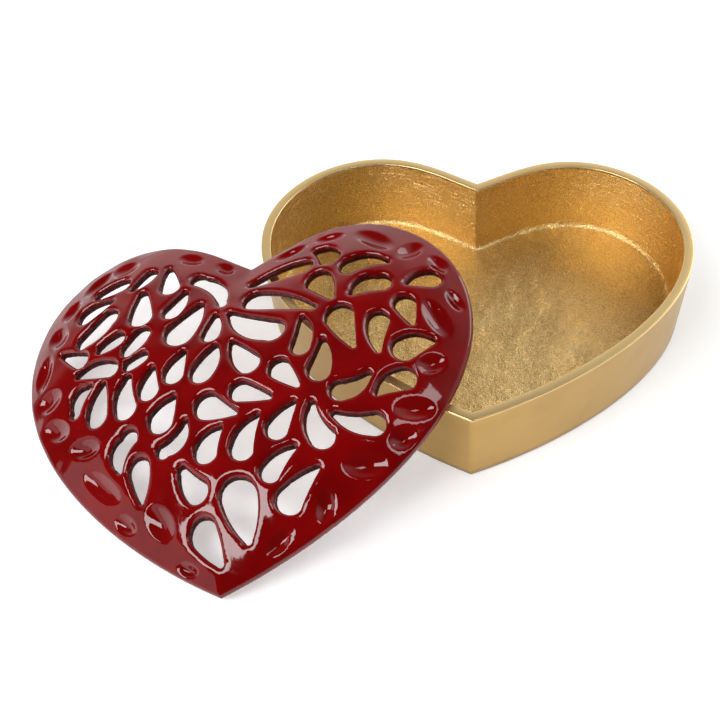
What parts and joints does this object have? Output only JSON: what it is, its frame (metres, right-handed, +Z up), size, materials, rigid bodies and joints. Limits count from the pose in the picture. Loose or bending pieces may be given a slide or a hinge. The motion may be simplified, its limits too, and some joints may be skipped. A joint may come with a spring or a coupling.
{
  "type": "heart keepsake box",
  "caption": "Heart-shaped cast metal tray with a thin base pad and a domed red enamel lid pierced with flowing leaf openings; the lid lifts off.",
  "frame": {"origin": "on the surface the box stands on, at the centre of the tray's pad along the heart's length and width", "axes": "+Z up, +Y from the heart's tip towards the cleft between its lobes, +X to the right seen from the tip"},
  "size_m": [0.3001, 0.2366, 0.0639],
  "materials": {
    "gold_casting": "cast aluminium with a lacquered gold finish: brushed outside, smooth rim, grainy as-cast inside",
    "red_enamel": "thick glossy enamel",
    "base_felt": "thin dense felt"
  },
  "bodies": {
    "tray": {"tray": "gold_casting", "base_pad": "base_felt"},
    "lid": {"lid": "red_enamel"}
  },
  "joints": [
    {"name": "lid_lift", "type": "slide", "parent": "tray", "child": "lid", "axis": [0, 0, 1], "range_m": [0, 0.12]}
  ]
}
